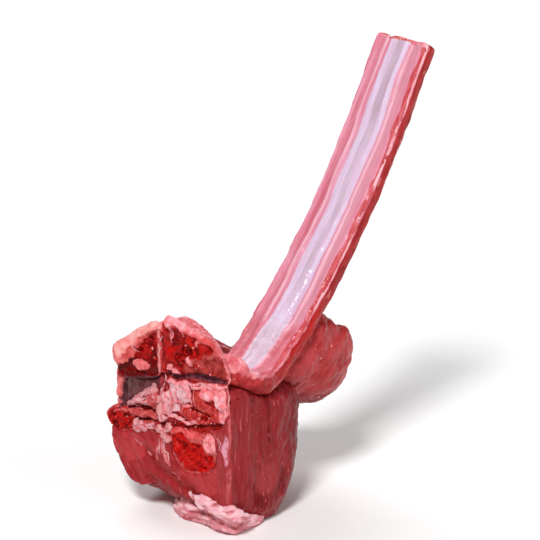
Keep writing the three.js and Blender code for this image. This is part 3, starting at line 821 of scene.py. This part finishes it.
moist_finish("rib_skin", [rib_skin], (0.03, 0.7), 0.2, 0.3, [
    ("skin", (236, 158, 180), (222, 126, 148), (1.6, 22, 3), 0.25),
    ("bone", (230, 206, 230), (222, 186, 212), (1.4, 22, 3), 0.23),
    ("grey", (206, 178, 196), (190, 160, 178), (2.0, 26, 3), 0.25),
    ("shine", (238, 218, 238), (230, 198, 222), (1.0, 22, 3), 0.22),
    ("groove", (206, 104, 122), (222, 134, 152), (1.2, 18, 3), 0.26),
    ("dull", (212, 136, 152), (224, 150, 168), (1.4, 20, 3), 0.25),
    ("light", (246, 192, 206), (238, 168, 186), (0.9, 18, 3), 0.23),
    ("low_side", (216, 124, 138), (196, 94, 106), (1.4, 18, 3), 0.25),
    ("low_bone", (218, 194, 210), (210, 178, 196), (1.4, 22, 3), 0.24),
    ("neck", (246, 184, 192), (234, 150, 160), (3, 8, 3), 0.26),
    ("cut_edge", (216, 104, 112), (192, 66, 72), (1.0, 6, 3), 0.28),
], grained=True)

# ----------------------------------------
# Backbone muscle: the meat round the spine, sawn through with the bones. Its grain runs down to the front,
# and thin white seams part its bundles.

backbone_muscle = copy_of("backbone_muscle", "backbone_meat", 0.36, 14)
places, facing = points_of(backbone_muscle.data)
on_face = ease(3.0, 0.8, places[:, 0]) * ease(0.0, -0.6, facing[:, 0])
torn, frayed = ragged(ragged(places, 0.8, 4.0), 0.2, 1.0), ragged(places, 1.2, 2.4)
valley = seam(torn, [(10, 18.5), (5, 14.3), (-5.2, 10.9), (-13.1, 8.6), (-19, 7.6)], (3.0, 1.6), 1.0)
fork = seam(torn, [(17, 22), (11, 18.5), (7, 17.2), (4.4, 23.9)], 1.0)
veil = seam(torn, [(4.6, 24.6), (3.2, 19), (1.2, 15.6), (-2, 13.6)], 1.2)
sheath = 0.7 * spot(torn, (-17.9, 26.6), (1.1, 3.8), 4, 0.6)
skirt = on_face * seam(torn, [(10, 10.4), (5.8, 9.4), (-1.7, 8.2), (-8.2, 7.4), (-16.7, 6.8)], 2.2, 0.8)
scraps = on_face * domes(frayed, [
    ((4.6, 26.8), (2.6, 1.5), 10, 1.1), ((2.2, 25.4), (1.9, 1.6), -30, 0.9),
    ((1.4, 28.4), (2.0, 0.9), 0, 0.7), ((4.3, 33.4), (2.0, 2.6), 0, 1.0),
    ((3.4, 30.9), (2.4, 1.3), -14, 0.9),
])
gash = on_face * seam(frayed, [(6.5, 30.0), (4.0, 28.9), (1.0, 29.3)], 1.2)
grain = places @ np.array([[1, 0, 0], [0, 0.8, -0.6], [0, 0.6, 0.8]]).T
fibres = lumps(grain / (1, 1, 3.5), 1.2, 3)
relief = (
    0.14 * fibres + 0.5 * lumps(places, 7.0, 2) + 0.12 * lumps(places, 2.0) - 0.7 * valley - 0.25 * fork
    - 0.4 * skirt + 0.25 * sheath + 0.2 * veil + scraps - 0.8 * gash
)
push(backbone_muscle, relief)
lay_grain(backbone_muscle, grain)
# Painted light: the meat brighter in patches at random, and in two painted pools of light, low at the front
# and further back.
lit = (
    lumps(places, 7.0, 3, 6.0) + 0.8 * spot(places, (-13.5, 13), (8, 7), 0, 0.8)
    + 0.6 * spot(places, (13, 20), (8, 6), 0, 0.8)
)
mark(
    backbone_muscle,
    # bright: random patches, and the painted pools of light.
    bright=ease(0.0, 0.7, lit),
    # Painted shade in the creases of the valley and the skirt, and in the canal's hollow.
    deep=most(0.8 * valley, skirt) + in_hollow(places),
    threads=ease(0.45, 0.75, fibres) * ease(-0.3, 0.4, lumps(places, 5.0, 2, 9.0)),
    seams=on_face * most(fork, veil) * ease(-0.5, 0.3, lumps(places, 3.0, 2, 3.0)),
    sheath=on_face * sheath,
    # Painted dark grey shade where the meat lines the canal's hollow.
    hollow=in_hollow(places),
    # The gash is painted dark, as the shade inside it.
    gash=gash,
    scraps=ease(0.2, 0.7, scraps + 0.2 * lumps(places, 1.5)),
)
moist_finish("backbone_meat", [backbone_muscle], (0.06, 0.45), 0.15, 0.18, [
    ("meat", (166, 44, 49), (148, 30, 35), (1.2, 1.2, 4), 0.32),
    # brighter in patches, partly painted pools of light
    ("bright", (186, 58, 63), (170, 46, 51), (1.4, 1.4, 5), 0.30),
    ("deep", (132, 24, 26), (150, 38, 40), 1.8, 0.32),
    ("threads", (196, 86, 88), (176, 62, 66), (0.8, 0.8, 3), 0.28),
    ("seams", (222, 132, 134), (200, 94, 98), 0.9, 0.28),
    ("sheath", (232, 168, 182), (212, 118, 132), 1.1, 0.25),
    ("hollow", (92, 40, 44), (112, 58, 64), 2.2, 0.28),
    # painted shade inside the gash
    ("gash", (124, 12, 12), (104, 6, 6), 1.2, 0.30),
    ("scraps", (232, 168, 170), (206, 118, 122), 1.3, 0.28),
], grained=True)

# ----------------------------------------
# Eye muscle: the large round muscle beside the backbone, cut across with a knife. The cut drew its grain out
# into fine upright streaks. Its outer side is under a thin shiny skin.

eye_muscle = copy_of("eye_muscle", "eye_meat", 0.4, 80, 0.3)
places, facing = points_of(eye_muscle.data)
cut_face = ease(0.45, 0.8, np.abs(facing[:, 1]))
bent = places.copy()
bent[:, 0] += 1.6 * lumps(places, 16.0, 2, 1.0)
streaks = lumps(bent / (1, 4, 10), 0.8, 3)
bundles = lumps(bent / (1, 4, 6), 2.4, 2, 4.0)
round_grain = lumps(places / (1, 7, 1), 1.5, 3, 8.0)
relief = (
    cut_face * (0.09 * streaks + 0.12 * bundles)
    + (1 - cut_face) * (0.16 * round_grain + 0.5 * lumps(places, 12.0, 2, 21.0))
    + 0.35 * lumps(places, 9.0, 2) + 0.05 * lumps(places, 0.8, 2)
)
push(eye_muscle, relief)
flecks = 0.8 * cut_face * ease(0.48, 0.75, lumps(bent / (1, 3, 4), 0.55, 2, 12.0))
film = lumps(places / (1, 5, 1), 3.4, 3, 3.0)
slant = np.abs(places[:, 2] - 33.5 - 0.22 * places[:, 0] + 0.5 * lumps(places, 3.0))
tendon = cut_face * ease(0.55, 0.15, slant) * ease(11, 7, places[:, 0]) * (facing[:, 1] < 0)
lay_grain(eye_muscle, np.where(cut_face[:, None] > 0.5, bent, places[:, [0, 2, 1]]))
# Darker bundles at random; darker again towards the outer side and along the top, as painted shade. lit is a
# painted pool of light low on the cut face, 15 mm in from the sawn face.
dark = ease(0.0, 0.8, bundles + 0.7 * lumps(places, 9.0, 2, 9.0)) * ease(3, 10, places[:, 0])
lit = 0.7 * ease(8, 3, np.hypot(places[:, 0] - 15, places[:, 2] - 14))
mark(
    eye_muscle,
    # dark: darker bundles, and painted shade towards the outer side and along the top; light: pale streaks,
    # and the painted pool of light.
    dark=most(dark, ease(20, 30, places[:, 0] + 3 * bundles), ease(36, 41, places[:, 2] + 2 * bundles)),
    light=cut_face * most(ease(0.0, 0.9, streaks), lit),
    flecks=most(flecks, 0.8 * tendon),
    skin=(1 - cut_face) * ease(-0.1, 0.5, film),
    fatty=(1 - cut_face) * ease(0.5, 0.7, film) * ease(6, 12, places[:, 0]),
    # Painted dark grey shade where the meat lines the canal's hollow.
    hollow=in_hollow(places),
)
moist_finish("eye_meat", [eye_muscle], (0.06, 0.4), 0.12, 0.09, [
    ("meat", (150, 42, 46), (134, 30, 34), (1.2, 3, 8), 0.28),
    # dark and light carry painted shade and a painted pool of light as well as the meat's own streaks
    ("dark", (108, 12, 16), (130, 28, 32), (1.0, 3, 8), 0.32),
    ("light", (168, 60, 64), (154, 48, 52), (0.8, 3, 8), 0.27),
    ("flecks", (208, 112, 116), (184, 80, 84), 0.6, 0.24),
    ("skin", (170, 62, 68), (150, 44, 50), (1.6, 1.6, 8), 0.23),
    ("fatty", (224, 142, 150), (198, 98, 106), (1.6, 1.6, 6), 0.25),
    ("hollow", (92, 40, 44), (112, 58, 64), 2.2, 0.28),
], grained=True)

# ----------------------------------------
# Silverskin: the thin white sheath of the eye muscle. It is drawn round the front corner of the sawn face,
# fast to the meat on both sides, and widens to a lavender patch beside the spine.

AXIS_X, SPOKE = 5.0, 20  # millimetres: an upright axis inside the corner, and how far off it points start
heights, turns = np.linspace(7.5, 44.5, 124), np.radians(np.linspace(188, 302, 44))
axis_y = np.interp(heights, [7, 20, 28, 36, 45], [-16.6, -15.8, -16.6, -16.6, -16.2])
spoke = np.stack([np.cos(turns), np.sin(turns), np.zeros(len(turns))], axis=1)
axis = np.stack([np.full(len(heights), AXIS_X), axis_y, heights], axis=1)
starts = axis[:, None, :] + SPOKE * spoke[None]
aims = np.repeat(-spoke[None], len(heights), axis=0)
silverskin = drape("silverskin", [backbone_muscle, eye_muscle], starts, aims, 16.6, 0.06, 14)
places, facing = points_of(silverskin.data)
if (facing[:, :2] * (places[:, :2] - (AXIS_X, axis_y.mean()))).sum(1).mean() < 0:
    silverskin.data.flip_normals()
round_corner = places[:, 0] - (places[:, 1] + 21.5) + 0.8 * lumps(places, 4.0, 3)
streaks = lumps(places / (1, 1, 9), 0.8, 3)
push(silverskin, 0.08 * streaks + 0.08 * lumps(places, 1.4, 3))
lay_grain(silverskin, places)
line = most(
    ease(1.1, 0.2, np.abs(round_corner + 0.3)) * ease(-0.6, 0.4, lumps(places / (1, 1, 3), 2.4, 3, 4.0)),
    0.7 * ease(1.3, 0.3, np.abs(round_corner + 1.0)) * ease(24, 19, places[:, 2])
    * ease(-0.7, 0.3, streaks),
)
mark(
    silverskin,
    eye=ease(0.2, 1.6, round_corner),
    light=ease(0.15, 0.9, streaks) * ease(0.2, 2.0, round_corner),
    line=0.75 * line,
    sheath=ease(1.5, 0.5, np.hypot((round_corner + 1.8) / 1.1, (places[:, 2] - 26.4) / 4.6)),
)
moist_finish("silverskin", [silverskin], (0.05, 0.45), 0.15, 0.2, [
    ("meat", (170, 54, 58), (152, 40, 44), (1.2, 1.2, 4), 0.30),
    ("eye", (154, 45, 49), (136, 32, 36), (1.0, 1.0, 6), 0.28),
    ("light", (180, 76, 80), (164, 58, 62), (0.7, 0.7, 6), 0.27),
    ("line", (208, 108, 114), (186, 78, 82), (1.2, 1.2, 3), 0.26),
    ("sheath", (230, 156, 174), (206, 116, 134), (1.0, 1.0, 2.8), 0.24),
], grained=True)

# ----------------------------------------
# Fat: the layer that the chop stands on, and a loose fold of it along the bottom of the sawn face. It is pale
# pink and wrinkled, with red scraps of meat in its creases.

LIE_OF_CREASES = np.array([[0.30, 0.08, 0.06], [0.08, 0.34, -0.10], [0.10, 0.12, 1.0]])
FOLD_LINE = [(-5, 3.2), (-10, 4.6), (-15, 4.2), (-21, 2.4)]  # where the fold lies against the layer
fats = []
for node, name, pitch, dent, paler in (
    ("fat_cap", "fat_edge", 0.34, 0.8, 0.0),
    ("fat_fold", "fat_roll", 0.24, 0.0, 0.35),
):
    fat = copy_of(node, name, pitch, 12)
    places, facing = points_of(fat.data)
    around = ragged(places, 0.8, 4.0) @ LIE_OF_CREASES.T
    creases = lumps(around, 1.5, 2)
    creases = creases - dent * seam(places, FOLD_LINE, 1.2, 0.8) * ease(9, 5, places[:, 0])
    clear = ease(0.25, 1.2, places[:, 2])
    push(fat, clear * (0.7 * creases + 0.4 * lumps(places, 5.0, 2) + 0.06 * lumps(places, 1.2, 2)))
    mark(
        fat,
        # Pale: lighter on the tops of the creases and on faces that look up, as painted light; the fold is
        # paler all over.
        pale=ease(-0.2, 0.6, creases + 0.3 * facing[:, 2] + paler),
        # Painted shade: darker pink in the bottoms of the creases.
        pink=0.85 * ease(0.0, -0.9, creases),
        scraps=0.7 * ease(0.4, 1.1, lumps(around, 1.1, 3, 13.0) - 0.6 * creases),
    )
    fats.append(fat)
moist_finish("fat", fats, (0.08, 0.6), 0.25, 0.22, [
    ("fat", (228, 154, 161), (212, 126, 134), 2.6, 0.30),
    # pale is partly painted light, and pink is painted shade
    ("pale", (250, 202, 208), (238, 172, 181), 2.8, 0.27),
    ("pink", (168, 76, 82), (196, 104, 110), 1.8, 0.32),
    ("scraps", (172, 58, 63), (194, 86, 90), 1.4, 0.30),
])

# ----------------------------------------
# Shreds of sinew: thin whitish strands that the saw tore from the gristle and the sheaths. They cling to the
# sawn face, most of them round the arch.

IN_FRONT, DEEPEST = 12, 5  # millimetres before the sawn face, and behind it where it still counts as one
sawn_trees = trees_of([near_vertebra, far_vertebra, disc, backbone_muscle, silverskin])


def depth_of_face(back, up):
    """How far in the sawn face lies at that place, in millimetres, or None beside it."""
    depth = fall(sawn_trees, np.array([-IN_FRONT, back, up]), (1, 0, 0)) - IN_FRONT
    return depth if depth < DEEPEST else None


STRANDS = [  # (back, up) points, and the thickness in millimetres
    ([(4.2, 44.2), (3.8, 41.0), (3.0, 38.0), (2.6, 34.6)], 0.55),
    ([(2.2, 43.2), (0.2, 40.0), (-0.4, 36.6), (0.8, 33.0)], 0.6),
    ([(-2.6, 43.0), (-4.4, 40.6), (-4.6, 37.4), (-3.6, 34.4)], 0.5),
    ([(3.6, 34.6), (1.2, 32.4), (-1.4, 31.8), (-4.4, 32.4)], 0.6),
    ([(-6.4, 43.6), (-8.6, 41.4), (-8.8, 38.6)], 0.45),
    ([(-9.4, 43.6), (-12.2, 44.4), (-15.6, 44.0), (-19.2, 44.6)], 0.5),
    ([(-18.6, 42.4), (-19.2, 39.0), (-18.8, 35.4)], 0.4),
    ([(6.2, 38.6), (9.0, 37.4), (12.0, 35.6), (15.2, 33.0)], 0.6),
    ([(7.0, 36.6), (10.4, 35.4), (13.6, 33.8)], 0.45),
    ([(8.4, 33.8), (11.6, 33.0), (15.4, 31.6)], 0.5),
    ([(5.6, 40.6), (6.6, 37.6), (6.2, 34.4)], 0.5),
    ([(5.2, 28.2), (7.8, 26.4), (10.6, 26.6), (13.8, 25.2)], 0.5),
    ([(4.0, 25.6), (2.8, 20.6), (1.0, 16.4)], 0.45),
    ([(5.6, 24.0), (4.6, 19.0)], 0.35),
    ([(-11.6, 28.6), (-14.6, 27.2), (-16.4, 24.0)], 0.5),
    ([(-15.8, 30.6), (-17.8, 28.4), (-18.6, 25.4)], 0.35),
    ([(4.6, 56.0), (4.4, 52.4), (4.8, 48.6)], 0.4),
    ([(1.2, 58.4), (0.6, 56.0)], 0.4),
    ([(14.6, 50.4), (13.4, 48.4)], 0.4),
]
strand_shape = bpy.data.curves.new("sinew_shreds", "CURVE")
strand_shape.dimensions = "3D"
strand_shape.bevel_depth = 0.001
strand_shape.bevel_resolution = 1
strand_shape.use_fill_caps = True
for number, (path, thickness) in enumerate(STRANDS):
    corners, along = np.arange(len(path)), np.linspace(0, len(path) - 1, 7 * (len(path) - 1))
    run = np.stack([np.interp(along, corners, axis) for axis in zip(*path)], axis=1)
    for _ in range(3):
        run[1:-1] = (run[:-2] + run[1:-1] + run[2:]) / 3
    run = ragged(np.column_stack([np.full(len(run), number * 3.0), run]), 0.8, 2.2)[:, 1:]
    held = [(depth_of_face(back, up), back, up) for back, up in run]
    held = [place for place in held if place[0] is not None]
    if len(held) < 4:
        continue
    strand = strand_shape.splines.new("NURBS")
    strand.points.add(len(held) - 1)
    strand.order_u, strand.use_endpoint_u = 3, True
    for step, (place, point) in enumerate(zip(held, strand.points)):
        taper = math.sin(math.pi * (0.08 + 0.84 * step / (len(held) - 1))) ** 0.6
        radius = thickness / 2 * taper * (1 + 0.4 * noise.noise(Vector((number, step * 0.5, 0))))
        point.co = (*(ORIGIN + np.array([place[0] + 0.1 * radius, place[1], place[2]]) / 1000), 1)
        point.radius = radius
strands_drawn = new_object("strands_drawn", strand_shape)
drawn = strands_drawn.evaluated_get(bpy.context.evaluated_depsgraph_get())
shreds = new_object("sinew_shreds", bpy.data.meshes.new_from_object(drawn))
bpy.data.objects.remove(strands_drawn)
shade_smooth(shreds.data)
places, _ = points_of(shreds.data)
push(shreds, 0.08 * lumps(places, 0.6, 2))
mark(shreds, rosy=ease(-0.3, 0.5, lumps(places, 4.0, 3, 5.0)))
moist_finish("sinew", [shreds], (0.04, 0.4), 0.2, 0.2, [
    ("sinew", (238, 186, 192), (222, 156, 162), 1.2, 0.26),
    ("rosy", (226, 126, 132), (208, 98, 102), 1.4, 0.28),
])
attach(shreds, "root")

# ----------------------------------------
# Bone crumbs: what the saw left on the sawn face, grains of red marrow and pale bone up to a millimetre
# across, stuck on by their own moisture.

CRUMBLED = [  # (back, up) middle, how far they lie from it, how many, and the share of pale ones
    ((-4, 52), (7, 4), 50, 0.15), ((-13, 48.6), (5, 2), 16, 0.3), ((8.6, 49.6), (2.6, 3.6), 18, 0.2),
    ((-11, 35.6), (7, 2.6), 46, 0.3), ((0, 37), (4, 5), 12, 1.0), ((-7, 22.4), (6.4, 4.2), 30, 0.0),
    ((19.6, 26.6), (5.2, 3.0), 36, 0.15), ((10, 26.6), (5, 2), 10, 1.0), ((-4, 30), (12, 1.0), 16, 0.4),
]
dice = np.random.default_rng(4)
bm = bmesh.new()
pale_grains = []
for middle, spread, count, pale_share in CRUMBLED:
    for _ in range(count):
        angle, out = dice.uniform(0, 2 * math.pi), math.sqrt(dice.uniform(0, 1))
        back = middle[0] + spread[0] * out * math.cos(angle)
        up = middle[1] + spread[1] * out * math.sin(angle)
        size, stretch = dice.uniform(0.16, 0.38), dice.uniform(0.6, 1.5, 3)
        twist = dice.uniform(0, math.pi, 3)
        pale_grain, depth = dice.uniform() < pale_share, depth_of_face(back, up)
        if depth is None:
            continue
        made = bmesh.ops.create_icosphere(bm, subdivisions=2, radius=size / 1000)["verts"]
        turn = Euler(twist).to_matrix()
        for vert in made:
            bumpy = 1 + 0.35 * noise.noise(vert.co * 4000 + Vector((back, up, 0)))
            vert.co = turn @ Vector([c * s * bumpy for c, s in zip(vert.co, stretch)])
            vert.co += Vector(ORIGIN + np.array([depth, back, up]) / 1000)
        pale_grains += [float(pale_grain)] * len(made)
crumbs = new_object("bone_crumbs", bpy.data.meshes.new("bone_crumbs"))
bm.to_mesh(crumbs.data)
bm.free()
shade_smooth(crumbs.data)
mark(crumbs, pale_grain=np.array(pale_grains))
moist_finish("bone_crumbs", [crumbs], (0.04, 0.4), 0.12, 0.2, [
    ("grain", (206, 30, 26), (170, 14, 12), 1.0, 0.28),
    ("pale_grain", (240, 150, 154), (220, 104, 106), 1.2, 0.26),
])
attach(crumbs, "root")
